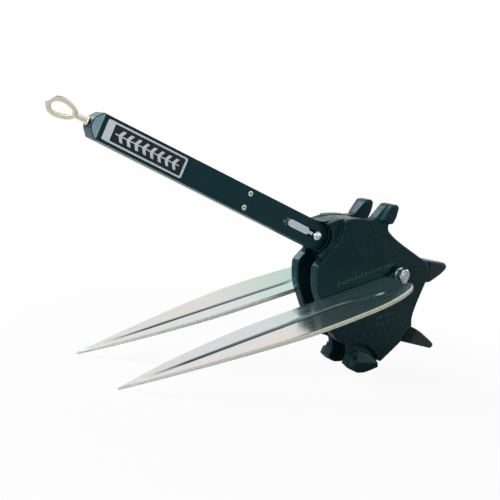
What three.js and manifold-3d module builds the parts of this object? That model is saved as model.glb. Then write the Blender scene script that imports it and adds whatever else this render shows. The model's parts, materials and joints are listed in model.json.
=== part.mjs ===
// Folding plow anchor for a small boat: a cast head of two cheeks on a centre casting with two
// claws, a forked flat-bar shank on a pivot pin, two leaf-shaped blades on a cross bolt, and a
// swivelling eye for the rode. Millimetres, +Z up. The anchor stands on its two blade tips and
// on the soles of its two lower lugs; +X points from the blade tips to the claws; the middle
// plane is Y = 0.
import * as THREE from 'three';
import { mergeVertices } from 'three/addons/utils/BufferGeometryUtils.js';
import { ConvexGeometry } from 'three/addons/geometries/ConvexGeometry.js';
import Module from 'manifold-3d';

// ---------- driving dimensions ----------
// Profiles are drawn in the plane of the cheeks: u to the rear, v up, w across the head.
const GAP = 0.3;                 // clearance between touching pieces
const CORE_HALF = 10.2;          // half thickness of the centre casting
const CHEEK_IN = 10.5;           // inner face of a cheek
const CHEEK_OUT = 21.5;          // outer face of a cheek
const LUG_OUT = 28.0;            // outer face of the flared lugs
const CLAW_HALF = 19.0;          // half thickness of a claw at its root
const PIN = [-67.3, 51.0];       // pivot pin, u and v
const PIN_R = 3.7;
const SHANK_ANGLE = 152.16;      // direction of the shank from the pin, degrees
const SHANK_HALF_T = 8.0;        // half thickness of the shank bar
const SHANK_W0 = 14.2;           // half width at the pin
const SHANK_W1 = 11.4;           // half width at the eye end
const SHANK_LEN = 262.0;         // pin to the end of the bar
const CAP_LEN = 9.0;
const KERF_HALF = 4.4;           // half width of the fork's kerf
const TONGUE_HALF = 4.0;
const SOCKET_R = 15.7;           // socket in the core that the fork turns in
const BOLT = [42.4, -5.6];       // blade bolt, u and v
const BOLT_R = 4.75;
const NUT_AF = 14.3;
const BLADE_ROOT = [21.2, -8.5]; // point on the blade's middle plane, u and v
const BLADE_ANGLE = 184.98;      // direction of the blade from its root, degrees
const BLADE_T = 5.0;
const BLADE_RISE = -1.8;         // the plate is folded along its middle, which lies lower than its edges
const TAPER = 0.0045;            // how fast a blade thins towards its tip, from above and from below
const TAPER_LOW = 0.00833;
const TAPER_FROM = 120;
const LOCK_TRAVEL = 6.0;
const EYE_TILT = 0.6;            // rest turn of the swivel eye, radians
const WIRE = 2.4;                // radius of the eye's wire

// ---------- helpers ----------
const wasm = await Module();
wasm.setup();
const toSolid = (geometry) => {
  let g = geometry.clone();
  for (const n of Object.keys(g.attributes)) if (n !== 'position') g.deleteAttribute(n);
  g = mergeVertices(g, 1e-4);
  return new wasm.Manifold(new wasm.Mesh({
    numProp: 3,
    vertProperties: new Float32Array(g.attributes.position.array),
    triVerts: new Uint32Array(g.index.array),
  }));
};
const toGeometry = (solid, tolerance = 0) => {
  const m = (tolerance ? solid.asOriginal().simplify(tolerance) : solid).getMesh();
  const g = new THREE.BufferGeometry();
  g.setAttribute('position', new THREE.BufferAttribute(new Float32Array(m.vertProperties), 3));
  g.setIndex(new THREE.BufferAttribute(new Uint32Array(m.triVerts), 1));
  g.computeVertexNormals();
  return g;
};
const join = (...s) => s.reduce((a, b) => a.add(b));
const cut = (a, ...s) => s.reduce((x, b) => x.subtract(b), a);

// a polygon with every corner rounded to at most the radius given
const rounded = (pts, r, steps = 4) => {
  const out = [];
  const n = pts.length;
  for (let i = 0; i < n; i++) {
    const [px, py] = pts[(i + n - 1) % n], [cx, cy, cr] = pts[i], [nx, ny] = pts[(i + 1) % n];
    const la = Math.hypot(px - cx, py - cy), lb = Math.hypot(nx - cx, ny - cy);
    const d = Math.min(cr ?? r, la * 0.45, lb * 0.45);
    if (d < 0.05) { out.push([cx, cy]); continue; }
    const ax = cx + (px - cx) / la * d, ay = cy + (py - cy) / la * d;
    const bx = cx + (nx - cx) / lb * d, by = cy + (ny - cy) / lb * d;
    for (let k = 0; k <= steps; k++) {
      const t = k / steps, q = (1 - t) * (1 - t), w = 2 * t * (1 - t), e = t * t;
      out.push([q * ax + w * cx + e * bx, q * ay + w * cy + e * by]);
    }
  }
  return out;
};
const prism = (pts, w0, w1, holes = []) => {
  const shape = new THREE.Shape(pts.map((p) => new THREE.Vector2(p[0], p[1])));
  for (const h of holes) shape.holes.push(new THREE.Path(h.map((p) => new THREE.Vector2(p[0], p[1]))));
  const g = new THREE.ExtrudeGeometry(shape, { depth: w1 - w0, bevelEnabled: false, curveSegments: 12 });
  g.translate(0, 0, w0);
  return g;
};
const circle = (cx, cy, r, n = 24, a0 = 0) => Array.from({ length: n }, (_, i) => {
  const a = a0 + (i / n) * Math.PI * 2;
  return [cx + r * Math.cos(a), cy + r * Math.sin(a)];
});
const arc = (cx, cy, r, d0, d1, n) => Array.from({ length: n + 1 }, (_, i) => {
  const a = (d0 + (d1 - d0) * i / n) * Math.PI / 180;
  return [cx + r * Math.cos(a), cy + r * Math.sin(a)];
});
const rod = (cx, cy, r, w0, w1, n = 24) => toSolid(prism(circle(cx, cy, r, n), w0, w1));
const lathe = (profile, n = 24) => {     // profile [r, w] turned about the w axis
  const g = new THREE.LatheGeometry(profile.map(([r, w]) => new THREE.Vector2(r, w)), n);
  g.rotateX(Math.PI / 2);
  return g;
};
const mirrorW = (solid) => solid.mirror([0, 0, 1]);
const hull = (pts) => toSolid(new ConvexGeometry(pts.map((p) => new THREE.Vector3(...p))));

// ---------- materials ----------
const mat = (name, color, roughness, metalness) => {
  const m = new THREE.MeshStandardMaterial({ color, roughness, metalness });
  m.name = name;
  return m;
};
const black = () => mat('black_paint', 0x12191b, 0.32, 0.1);
const plated = () => mat('plated_steel', 0xc9c5ae, 0.28, 1.0);
const bright = () => mat('bright_steel', 0xc8ced2, 0.25, 1.0);
const gold = () => mat('gold_plated', 0xcbb98d, 0.3, 1.0);
const silver = () => mat('label_silver', 0xb9c2c6, 0.35, 0.8);
const dark = () => mat('label_black', 0x101416, 0.45, 0.0);
const bronze = () => mat('bronze', 0x9c7a45, 0.4, 0.9);

const head = new THREE.Group();       // everything in u, v, w
const add = (name, geometry, material, parent = head) => {
  const m = new THREE.Mesh(geometry, material);
  m.name = name;
  parent.add(m);
  return m;
};

// ---------- head: outline of a cheek ----------
const CHEEK = [
  [-69.4, -22.2, 10], [-76.3, -4, 10], [-77.0, 12, 8], [-76.0, 21.5, 3], [-66.5, 28.6, 4], [-58.9, 33.9, 3],
  [-52.0, 40.2, 3], [-45.5, 45.5, 5], [-41.5, 54, 5], [-38.6, 67.0, 2.5], [-23.7, 66.2, 5], [-12.7, 64.7, 5],
  [-4, 62.4, 3], [4.5, 62.0, 2], [22.5, 76.6, 3], [30.6, 76.2, 3.0], [33.6, 72.6, 2.5], [31.0, 63.0, 4],
  [25.5, 54.0, 4], [25.5, 46.6, 5], [36.0, 37.0, 5], [47.0, 29.1, 5], [66.3, 16.6, 5], [86.4, 3.8, 2], [95.0, -1.8, 1.5],
  [98.2, -12.0, 5], [96.0, -22.5, 2], [87.5, -37.0, 5], [79.5, -51.0, 5], [74.2, -63.0, 5], [73.4, -70.5, 3],
  [74.3, -76.2, 1], [66.5, -79.8, 4], [60.0, -85.5, 4], [57.0, -92.0, 1], [40.0, -100.9, 3], [23.5, -109.2, 2],
  [17.0, -104.5, 2], [17.5, -111.4, 2], [6.0, -112.3, 1], [-9.0, -112.238, 0], [-19.0, -109.85, 0], [-28.5, -100.5, 3],
  [-22.0, -91.0, 4], [-24.5, -78.0, 3], [-42.0, -69.5, 4], [-54.0, -56.0, 8], [-62.5, -40.0, 8],
];
const cheekOutline = rounded(CHEEK, 3, 3);

const TOP_LUG = [[2.5, 58.0], [4.5, 62.0], [22.5, 76.6], [30.0, 76.0], [32.6, 72.5], [30.2, 63.0], [25.5, 54.0], [19.0, 50.0]];
const LOW_LUG = [[17.0, -104.5], [17.5, -111.4], [6.0, -112.3], [-9.0, -112.238], [-19.0, -109.85], [-28.5, -100.5],
  [-22.0, -91.0], [-10.0, -88.0], [4.0, -94.0]];
const shrink = (pts, k, cx, cy) => pts.map(([x, y]) => [cx + (x - cx) * k, cy + (y - cy) * k]);
const lug = (poly, cx, cy, inner) => {
  const wide = cx > 0 ? [] : poly.map(([x, y]) => [x, y, CHEEK_OUT - 1.5]);
  const back = poly.map(([x, y]) => [x, y, CHEEK_IN]);
  const front = inner.map(([x, y]) => [x, y, LUG_OUT]);
  return hull([...wide, ...back, ...front]);
};
const topLug = lug(TOP_LUG, 20, 64,
  [[10.7, 61.6], [23.8, 75.9], [31.2, 75.8], [34.4, 72.9], [31.4, 62.5], [26.2, 55.2]]);
const lowLug = lug(LOW_LUG, -10, -102,
  [[13.0, -105.5], [13.6, -111.0], [4.0, -111.9], [-9.0, -112.238], [-19.0, -109.85], [-26.5, -101.8], [-22.5, -95.0]]);

const SCREWS = [[4, 38], [-30, -12], [-6, -58], [50, -58]];
const SCREW_R = 3.5;
const CLAWS = [
  { pin: [82, -8.5], dir: -13.5 },
  { pin: [58.5, -74.5], dir: -41.0 },
];
const cheekSolid = () => {
  let s = join(toSolid(prism(cheekOutline, CHEEK_IN, CHEEK_OUT)), topLug, lowLug);
  s = cut(s, rod(BOLT[0], BOLT[1], BOLT_R + GAP, 5, 40, 24));
  for (const c of CLAWS) s = cut(s, rod(c.pin[0], c.pin[1], 3 + GAP, 5, 15.1, 16));
  // a lower shoulder carries the cheek on to the pin's socket, undercut so that only its lip stands over it
  const shoulder = [[-60, 24], [-45, 38], [-34, 55], [-31, 62], [-36.3, 66.6], [-42.0, 67.0], [-49.0, 66.1], [-57.3, 64.8],
    ...arc(PIN[0], PIN[1], 14.4, 74, -78, 14), [-67.5, 31.0]];
  s = join(s, toSolid(prism(shoulder.reverse(), CHEEK_IN, 17.0)));
  const ring = (r, w) => circle(PIN[0], PIN[1], r, 28).map(([x, y]) => [x, y, w]);
  s = cut(s, hull([...ring(14.4, 15.6), ...ring(20.5, CHEEK_IN - 0.6)]));
  // shallow relief of the casting between the lower lug and the face
  s = cut(s, toSolid(prism([[-27, -76.5], [-12, -77.5], [1, -84], [14.5, -96], [20.5, -104.5], [15.5, -103.5], [4, -94.4], [-13, -86.4], [-28.5, -88]], 17.5, 40)));
  return s;
};
let near = cheekSolid();
let far = mirrorW(cheekSolid());
for (const [x, y] of SCREWS) {
  near = cut(near, rod(x, y, SCREW_R + GAP, 5, CHEEK_IN + 7.8, 16));
  far = cut(far, rod(x, y, SCREW_R + GAP, -40, -5, 16), rod(x, y, 6.0 + GAP, -40, -CHEEK_OUT + 6.0, 20));
}
add('cheek_near', toGeometry(near, 0.02), black());
add('cheek_far', toGeometry(far, 0.02), black());

// ---------- head: centre casting with the tongue that carries the pin ----------
const CORE = [
  ...arc(PIN[0], PIN[1], SOCKET_R, -84, 84, 16),
  [-55.0, 65.6], [-43.0, 66.2], [-35.0, 66.3], [-24.0, 65.4], [-12.7, 63.8], [-3.0, 60.6], [3.0, 56.5], [10.0, 52.0],
  [18.0, 47.5], [24.0, 44.0], [46.0, 27.6], [65.4, 15.2], [85.4, 2.6], [93.4, -2.8], [96.4, -12.0], [94.4, -22.0],
  [86.0, -36.2], [78.0, -50.3], [72.7, -62.5], [71.9, -70.5], [72.5, -75.2], [65.5, -78.6], [58.8, -84.4], [55.8, -91.0],
  [39.0, -99.6], [25.0, -105.5], [14.0, -91.0], [4.0, -82.0], [-10.0, -75.0], [-30.0, -70.0], [-40.0, -63.0],
  [-45.5, -45.0], [-45.5, -20.0], [-46.0, 0.0], [-50.0, 16.0], [-57.0, 27.5],
];
const clawFrame = (c, pts) => {
  const a = c.dir * Math.PI / 180, ca = Math.cos(a), sa = Math.sin(a);
  return pts.map(([x, y, z]) => [c.pin[0] + x * ca - y * sa, c.pin[1] + x * sa + y * ca, z]);
};
const tangHalf = 7.5;
let core = toSolid(prism(CORE, -CORE_HALF, CORE_HALF));
for (const c of CLAWS) {
  const q = clawFrame(c, [[-9, -tangHalf - GAP], [30, -tangHalf - GAP], [30, tangHalf + GAP], [-9, tangHalf + GAP]]);
  core = cut(core, toSolid(prism(q, -20, 20)));
}
for (const [x, y] of SCREWS) core = cut(core, rod(x, y, SCREW_R + GAP, -20, 20, 16));
core = cut(core, rod(BOLT[0], BOLT[1], 7.3, -20, 20, 24));
const TONGUE = [...arc(PIN[0], PIN[1], 11.5, 70, 290, 16), [-50.0, 36.0], [-44.0, 44.0], [-46.0, 60.0]];
core = join(core, toSolid(prism(TONGUE, -TONGUE_HALF, TONGUE_HALF)));
core = cut(core, rod(PIN[0], PIN[1], 5.9, -20, 20, 24));
add('centre_casting', toGeometry(core), black());

// ---------- head: claws, each with a tang between the cheeks ----------
const trim = [
  toSolid(prism([[40, 40], [66.5, 17.1], [86.6, 4.3], [95.4, -1.4], [98.7, -12.0], [96.4, -22.8], [87.9, -37.3], [60, -60]], -25, 25)),
  toSolid(prism([[40, -30], [79.9, -51.2], [74.7, -63.2], [73.9, -70.4], [74.8, -76.4], [66.8, -80.3], [60.4, -85.8], [57.5, -92.4], [40.2, -101.4], [20, -100]], -25, 25)),
];
const claw = (i, pts) => {
  const c = CLAWS[i];
  const body = cut(hull(pts), trim[i]);
  const q = clawFrame(c, [[-8.5, -tangHalf], [24, -tangHalf], [24, tangHalf], [-8.5, tangHalf]]);
  const tang = toSolid(prism(q, -CORE_HALF + 0.1, CORE_HALF - 0.1));
  return cut(join(body, tang), rod(c.pin[0], c.pin[1], 3 + GAP, -20, 20, 16));
};
const both = (pts) => pts.flatMap(([x, y, z]) => [[x, y, z], [x, y, -z]]);
add('claw_upper', toGeometry(claw(0, both([
  [88, 2.2, CLAW_HALF], [97, -27, CLAW_HALF], [90, -12, CLAW_HALF], [106, -2.6, 17.5], [105, -28.6, 17.5],
  [119, -7.2, 11.0], [118, -29.6, 11.0], [138, -11.6, 6.0], [147.5, -14.2, 4.6], [152.6, -18.6, 4.0], [152.2, -22.6, 4.0], [141, -27.4, 5.5],
]))), black());
add('claw_lower', toGeometry(claw(1, both([
  [75.5, -77.5, CLAW_HALF], [60, -93.5, CLAW_HALF], [66, -86, CLAW_HALF], [88.0, -84.8, 18.0], [76.5, -98.8, 18.0],
  [108, -97.0, 10.0], [100, -109.6, 10.0], [134.0, -117.0, 4.8], [137.6, -120.6, 4.0], [136.6, -124.0, 3.8], [131.5, -124.6, 4.4],
]))), black());
CLAWS.forEach((c, i) => add(i ? 'claw_pin_lower' : 'claw_pin_upper', toGeometry(rod(c.pin[0], c.pin[1], 3, -14.8, 14.8, 16)), bright()));

// ---------- head: screws from the far side ----------
SCREWS.forEach(([x, y], i) => add(`body_screw_${i + 1}`, toGeometry(cut(
  join(rod(x, y, SCREW_R, -CHEEK_OUT + 5.5, CHEEK_IN + 7.3, 16), rod(x, y, 6.0, -CHEEK_OUT + 0.2, -CHEEK_OUT + 5.7, 20)),
  rod(x, y, 3.3, -CHEEK_OUT - 1, -CHEEK_OUT + 3.2, 6))), bright()));

// ---------- pivot pin, its far head and the bush in the tongue ----------
const HEAD0 = SHANK_HALF_T + GAP;
add('pivot_pin', lathe([[0, -HEAD0], [PIN_R, -HEAD0], [PIN_R, HEAD0], [5.5, HEAD0], [5.5, HEAD0 + 1.2], [5.1, HEAD0 + 2.4],
  [4.0, HEAD0 + 3.4], [2.2, HEAD0 + 4.0], [0, HEAD0 + 4.2]].map(([r, w]) => [r, w]), 28).translate(PIN[0], PIN[1], 0), bright());
add('pin_head_far', lathe([[0, -HEAD0 - 4.2], [2.2, -HEAD0 - 4.0], [4.0, -HEAD0 - 3.4], [5.1, -HEAD0 - 2.4],
  [5.5, -HEAD0 - 1.2], [5.5, -HEAD0 - GAP], [0, -HEAD0 - GAP]], 28).translate(PIN[0], PIN[1], 0), bright());
add('tongue_bush', prism(circle(PIN[0], PIN[1], 5.6, 24), -TONGUE_HALF, TONGUE_HALF, [circle(PIN[0], PIN[1], PIN_R + GAP, 24)]), bronze());
add('bolt_bush', prism(circle(BOLT[0], BOLT[1], 7.0, 24), -CORE_HALF + 0.2, CORE_HALF - 0.2, [circle(BOLT[0], BOLT[1], BOLT_R + GAP, 24)]), bronze());

// ---------- shank: drawn along s from the pin, p across ----------
const shank = new THREE.Group();
shank.position.set(PIN[0], PIN[1], 0);
shank.rotation.z = SHANK_ANGLE * Math.PI / 180;
head.add(shank);
const halfW = (s) => SHANK_W0 + (SHANK_W1 - SHANK_W0) * s / SHANK_LEN;
const BAR = [...arc(0, 0, SHANK_W0, 90, 270, 20), [SHANK_LEN, -halfW(SHANK_LEN)], [SHANK_LEN, halfW(SHANK_LEN)]];
const SLOT_END = 42.6 + LOCK_TRAVEL + 0.4 - 4.0;
const slot = [...arc(0, 0, 4.05, 90, 270, 12), ...arc(SLOT_END, 0, 4.05, -90, 90, 12)];
const box = (x0, x1, y0, y1, z0, z1) => {
  const g = new THREE.BoxGeometry(x1 - x0, y1 - y0, z1 - z0);
  g.translate((x0 + x1) / 2, (y0 + y1) / 2, (z0 + z1) / 2);
  return toSolid(g);
};
let bar = toSolid(prism(BAR, -SHANK_HALF_T, SHANK_HALF_T));
bar = cut(bar, box(-20, 53, -20, 20, -KERF_HALF, KERF_HALF), toSolid(prism(slot, -20, 20)));
bar = cut(bar, toSolid(prism([[176.2, -10.0], [259.2, -9.3], [259.2, 9.3], [176.2, 10.0]], SHANK_HALF_T - 0.9, 20)));
const RIVETS = [[99.5, -7.35], [100.5, 7.35]];
for (const [x, y] of RIVETS) bar = cut(bar, rod(x, y, 2.1, -20, 20, 16));
const along = (solid) => solid.rotate([0, 90, 0]);   // w axis turned onto s
bar = cut(bar, along(rod(0, 0, 3.2, 226, 280, 20)), along(toSolid(prism(circle(0, 0, 6.6, 24), 250, 280))));
add('shank_bar', toGeometry(bar), black(), shank);

// end cap with a gable nose; the eye's stem passes through it
let cap = toSolid(prism(rounded([[SHANK_LEN + GAP, -11.4, 0.2], [264.6, -11.4, 2.5], [270.2, -4.6, 3], [270.9, 0, 2], [270.2, 4.6, 3],
  [264.6, 11.4, 2.5], [SHANK_LEN + GAP, 11.4, 0.2]], 2, 3), -SHANK_HALF_T, SHANK_HALF_T));
cap = cut(cap, along(rod(0, 0, 3.2, 250, 290, 20)));
add('end_cap', toGeometry(cap), black(), shank);
add('label_tail', prism(rounded([[262.7, -10.6, 0.5], [264.3, -10.6, 2.0], [269.5, -4.4, 2.5], [270.2, 0, 2], [269.5, 4.4, 2.5],
  [264.3, 10.6, 2.0], [262.7, 10.6, 0.5]], 2, 3), SHANK_HALF_T + 0.05, SHANK_HALF_T + 0.45), mat('cap_grey', 0x8b969c, 0.4, 0.3), shank);

// label: a plate in a shallow recess, a raised frame on it and a plain motif
const LABEL_T0 = SHANK_HALF_T - 0.9 + 0.05;
const labelOuter = rounded([[176.6, -9.6, 2], [258.8, -8.9, 1.5], [258.8, 8.9, 1.5], [176.6, 9.6, 2]], 2, 3);
const labelInner = rounded([[178.9, -8.0, 1.5], [251.6, -7.3, 1.2], [251.6, 7.3, 1.2], [178.9, 8.0, 1.5]], 1.5, 3);
const labelSeat = shrink(labelInner, 0.992, 215, 0);
add('label_plate', prism(labelSeat, LABEL_T0, SHANK_HALF_T + 0.1), dark(), shank);
add('label_frame', prism(labelOuter, LABEL_T0, SHANK_HALF_T + 0.5, [labelInner]), silver(), shank);
const motif = [box(183, 249, -0.5, 0.5, SHANK_HALF_T + 0.15, SHANK_HALF_T + 0.45)];
for (let i = 0; i < 8; i++) {
  const x = 184.5 + i * 7.9, k = 4.9;
  motif.push(toSolid(prism([[x, -k], [x + 3.2, -k], [x + 6.2, 0], [x + 3.2, k], [x, k], [x + 3.0, 0]], SHANK_HALF_T + 0.15, SHANK_HALF_T + 0.5)));
}
add('label_motif', toGeometry(join(...motif)), silver(), shank);

// two tubular rivets
RIVETS.forEach(([x, y], i) => {
  const g = lathe([[1.0, -SHANK_HALF_T - 0.6], [2.7, -SHANK_HALF_T - 0.6], [2.7, -SHANK_HALF_T - 0.15], [1.85, -SHANK_HALF_T - 0.1],
    [1.85, SHANK_HALF_T + 0.1], [2.7, SHANK_HALF_T + 0.15], [2.7, SHANK_HALF_T + 0.6], [1.0, SHANK_HALF_T + 0.6], [1.0, -SHANK_HALF_T - 0.6]], 20);
  g.translate(x, y, 0);
  add(i ? 'rivet_lower' : 'rivet_upper', g, bright(), shank);
});

// ---------- lock slide in the fork's slot ----------
const pill = (r) => [...arc(12.1 + r, 0, r, 90, 270, 10), ...arc(42.6 - r, 0, r, -90, 90, 10)];
let lock = toSolid(prism(pill(3.75), -SHANK_HALF_T - 0.3, SHANK_HALF_T + 0.3));
lock = join(lock, box(16, 40, -6.6, 6.6, -KERF_HALF + 0.4, KERF_HALF - 0.4));
lock = join(lock, box(6.4, 14, -1.7, 1.7, KERF_HALF + 0.4, SHANK_HALF_T - 0.2), box(6.4, 14, -1.7, 1.7, -SHANK_HALF_T + 0.2, -KERF_HALF - 0.4));
add('lock_slide', toGeometry(lock), bright(), shank);

// ---------- swivel eye ----------
const eye = new THREE.Group();
eye.rotation.x = -EYE_TILT;
shank.add(eye);
const ringPts = [];
const RC = 294.6;
for (let i = 0; i < 24; i++) {
  const a = (i / 24) * Math.PI * 2;
  ringPts.push(new THREE.Vector3(RC + 11.2 * Math.cos(a), 7.2 * Math.sin(a) * (1 + 0.16 * Math.cos(a)), 0));
}
const ringCurve = new THREE.CatmullRomCurve3(ringPts, true);
const wire = new THREE.Shape(circle(0, 0, WIRE, 8).map(([x, y]) => new THREE.Vector2(x, y)));
const ring = toSolid(new THREE.ExtrudeGeometry(wire, { steps: 32, extrudePath: ringCurve, bevelEnabled: false }));
const flats = box(260, 320, -20, 20, -1.75, 1.75);      // forged flats on both sides of the ring
const stem = along(join(rod(0, 0, 2.6, 230, 284.4, 16), rod(0, 0, 3.5, 271.3, 272.5, 16)));
add('eye_ring', toGeometry(join(ring.intersect(flats), stem)), gold(), eye);
add('eye_nut', toGeometry(along(toSolid(prism(circle(0, 0, 5.6, 6), 252.2, 257.8, [circle(0, 0, 2.6 + GAP, 16)])))), bright(), eye);
add('eye_washer', toGeometry(along(toSolid(prism(circle(0, 0, 6.0, 20), 258.2, 259.6, [circle(0, 0, 2.6 + GAP, 16)])))), bright(), eye);

// ---------- blades ----------
const PLAN = [
  // [s, w] from the root towards the tip: outer edge, then back along the inner edge
  [-2.2, 21.9, 1], [-4.0, 33, 5], [-6.0, 46, 5], [-7.0, 57, 4], [-1.5, 63.0, 5], [12, 70.4, 8], [27, 75.6, 8], [51, 79.3, 10],
  [72, 81.0, 10], [97, 81.6, 10], [121, 81.4, 10], [142, 80.4, 10], [166, 78.6, 10], [208, 72.3, 10], [248, 64.9, 10],
  [274, 59.7, 8], [298, 54.5, 8], [322, 48.8, 4], [336.4, 45.2, 1.2], [322, 41.4, 4], [297.6, 35.6, 8], [261.3, 29.6, 8], [222, 24.6, 8],
  [190, 22.3, 8], [165, 21.9, 2],
];
const plan = rounded(PLAN, 4, 2);
const RIDGE = 46;
const bladeSolid = () => {
  // a plate bent up along its middle line: two wedges of plate joined on the ridge
  const g = prism(plan, -30, 30);
  const blank = toSolid(g);                              // x = s, y = w, z = height
  const k = BLADE_RISE / 30;
  const h = BLADE_T / 2;
  const sec = [[10, BLADE_RISE / 2 - k * 36 - h], [RIDGE, BLADE_RISE / 2 - h], [90, BLADE_RISE / 2 - k * 44 - h],
    [90, BLADE_RISE / 2 - k * 44 + h], [RIDGE, BLADE_RISE / 2 + h], [10, BLADE_RISE / 2 - k * 36 + h]];
  // section in (w, height), extruded along s
  const bentG = prism(sec, -20, 350);                     // x = w, y = height, z = s
  bentG.applyMatrix4(new THREE.Matrix4().set(0, 0, 1, 0, 1, 0, 0, 0, 0, 1, 0, 0, 0, 0, 0, 1));
  // the plate thins towards its tip, a little from above and more from below
  const wedge = (change, rate) => {
    const g3 = prism(sec.map(([w, y], i) => [w, y + change(i)]), -20, 350);
    g3.applyMatrix4(new THREE.Matrix4().set(0, 0, 1, 0, 1, 0, 0, 0, 0, 1, 0, 0, 0, 0, 0, 1));
    g3.applyMatrix4(new THREE.Matrix4().set(1, 0, 0, 0, 0, 1, 0, 0, rate, 0, 1, -rate * TAPER_FROM, 0, 0, 0, 1));
    return toSolid(g3);
  };
  const leaf = blank.intersect(toSolid(bentG))
    .intersect(wedge((i) => (i < 3 ? -30 : 0), -TAPER))
    .intersect(wedge((i) => (i < 3 ? 0 : 30), TAPER_LOW));
  return leaf;
};
// frame of the blade: s towards the tip, w across, height up (opposite turn of u, v)
const ba = BLADE_ANGLE * Math.PI / 180;
const bs = [Math.cos(ba), Math.sin(ba)], bn = [Math.sin(ba), -Math.cos(ba)];
const toUVW = new THREE.Matrix4().set(
  bs[0], 0, bn[0], BLADE_ROOT[0],
  bs[1], 0, bn[1], BLADE_ROOT[1],
  0, 1, 0, 0,
  0, 0, 0, 1);
const place = (solid) => {
  const g = toGeometry(solid);
  g.applyMatrix4(toUVW);
  return toSolid(g);
};
const hubNear = cut(join(rod(BOLT[0], BOLT[1], 8.0, CHEEK_OUT + 0.4, CHEEK_OUT + 4.4, 24),
  toSolid(prism([[BLADE_ROOT[0] + 0, BLADE_ROOT[1] + 1.4], [BLADE_ROOT[0], BLADE_ROOT[1] - 2.2], [BOLT[0], BOLT[1] - 6.5], [BOLT[0], BOLT[1] + 0.8]], CHEEK_OUT + 0.4, CHEEK_OUT + 4.4))),
  rod(BOLT[0], BOLT[1], BOLT_R + GAP, 0, 60, 24));
const bladeNear = join(place(bladeSolid()), hubNear);
add('blade_near', toGeometry(bladeNear), plated());
add('blade_far', toGeometry(mirrorW(bladeNear)), plated());

// ---------- blade bolt, washers and nuts ----------
add('blade_bolt', prism(circle(BOLT[0], BOLT[1], BOLT_R, 24), -35.2, 35.2), bright());
const washer = (w0, w1) => prism(circle(BOLT[0], BOLT[1], 8.2, 24), w0, w1, [circle(BOLT[0], BOLT[1], BOLT_R + GAP, 24)]);
const nut = (w0, w1) => {
  const ac = NUT_AF / Math.sqrt(3);
  const hex = toSolid(prism(circle(BOLT[0], BOLT[1], ac, 6, 0), w0, w1));
  const g = lathe(w0 > 0 ? [[0, w0 - 1], [ac + 1, w0 - 1], [ac + 1, w1 - 1.2], [ac - 1.5, w1], [0, w1]]
    : [[0, w0], [ac - 1.5, w0], [ac + 1, w0 + 1.2], [ac + 1, w1 + 1], [0, w1 + 1]], 24);
  g.translate(BOLT[0], BOLT[1], 0);
  return toGeometry(cut(hex.intersect(toSolid(g)), rod(BOLT[0], BOLT[1], BOLT_R + GAP, -60, 60, 24)));
};
add('blade_washer_near', washer(CHEEK_OUT + 4.7, CHEEK_OUT + 5.9), bright());
add('blade_washer_far', washer(-CHEEK_OUT - 5.9, -CHEEK_OUT - 4.7), bright());
add('blade_nut_near', nut(CHEEK_OUT + 6.2, CHEEK_OUT + 13.2), bright());
add('blade_nut_far', nut(-CHEEK_OUT - 13.2, -CHEEK_OUT - 6.2), bright());

// ---------- stance: tips and lower lugs on the ground ----------
const tipU = BLADE_ROOT[0] + bs[0] * 335.5 - bn[0] * 2.0, tipV = BLADE_ROOT[1] + bs[1] * 335.5 - bn[1] * 2.0;
const sole = [-19.0, -109.85];
const TILT = Math.atan2(-(sole[1] - tipV), sole[0] - tipU);
const tilt = new THREE.Group();
tilt.rotation.z = TILT;
tilt.add(head);
const stand = new THREE.Group();
stand.rotation.x = Math.PI / 2;            // u, v, w become X, Z, -Y
stand.add(tilt);
const anchor = new THREE.Group();
anchor.add(stand);
anchor.updateMatrixWorld(true);
const bb = new THREE.Box3().setFromObject(anchor, true);
stand.position.set(-(bb.min.x + bb.max.x) / 2, -(bb.min.y + bb.max.y) / 2, -bb.min.z);
anchor.updateMatrixWorld(true);

export default anchor;
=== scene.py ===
import json
import math

import bmesh
import bpy
from mathutils import Matrix, Vector

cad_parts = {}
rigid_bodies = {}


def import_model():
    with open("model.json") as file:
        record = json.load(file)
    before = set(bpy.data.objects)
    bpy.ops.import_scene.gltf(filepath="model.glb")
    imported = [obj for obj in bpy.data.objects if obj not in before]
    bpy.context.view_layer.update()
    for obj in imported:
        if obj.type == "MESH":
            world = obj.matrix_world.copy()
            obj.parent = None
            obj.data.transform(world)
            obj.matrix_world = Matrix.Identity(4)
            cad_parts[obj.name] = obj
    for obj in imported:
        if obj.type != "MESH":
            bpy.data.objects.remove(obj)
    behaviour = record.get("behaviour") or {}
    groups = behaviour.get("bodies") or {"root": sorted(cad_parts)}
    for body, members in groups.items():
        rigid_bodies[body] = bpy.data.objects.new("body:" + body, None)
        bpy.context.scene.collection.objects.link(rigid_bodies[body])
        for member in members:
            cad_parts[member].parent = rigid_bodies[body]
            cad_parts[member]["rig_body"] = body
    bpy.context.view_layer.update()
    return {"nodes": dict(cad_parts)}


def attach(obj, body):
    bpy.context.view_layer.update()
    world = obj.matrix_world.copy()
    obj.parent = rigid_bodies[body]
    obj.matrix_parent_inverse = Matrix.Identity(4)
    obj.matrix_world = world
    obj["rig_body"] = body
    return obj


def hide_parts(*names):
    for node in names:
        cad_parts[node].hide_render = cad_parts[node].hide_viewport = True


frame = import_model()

NODES = frame["nodes"]
MM = 0.001


# ------------------------------------------------------------------ frames of the pieces (millimetres)
# Head: u to the rear, v up, w across (near side positive); row frame: x, z from u, v, and y = -w.
def head_point(u, v, w):
    return Vector((0.972607 * u - 0.232456 * v + 107.060898,
                   -w,
                   0.232456 * u + 0.972607 * v + 111.257531)) * MM


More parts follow.
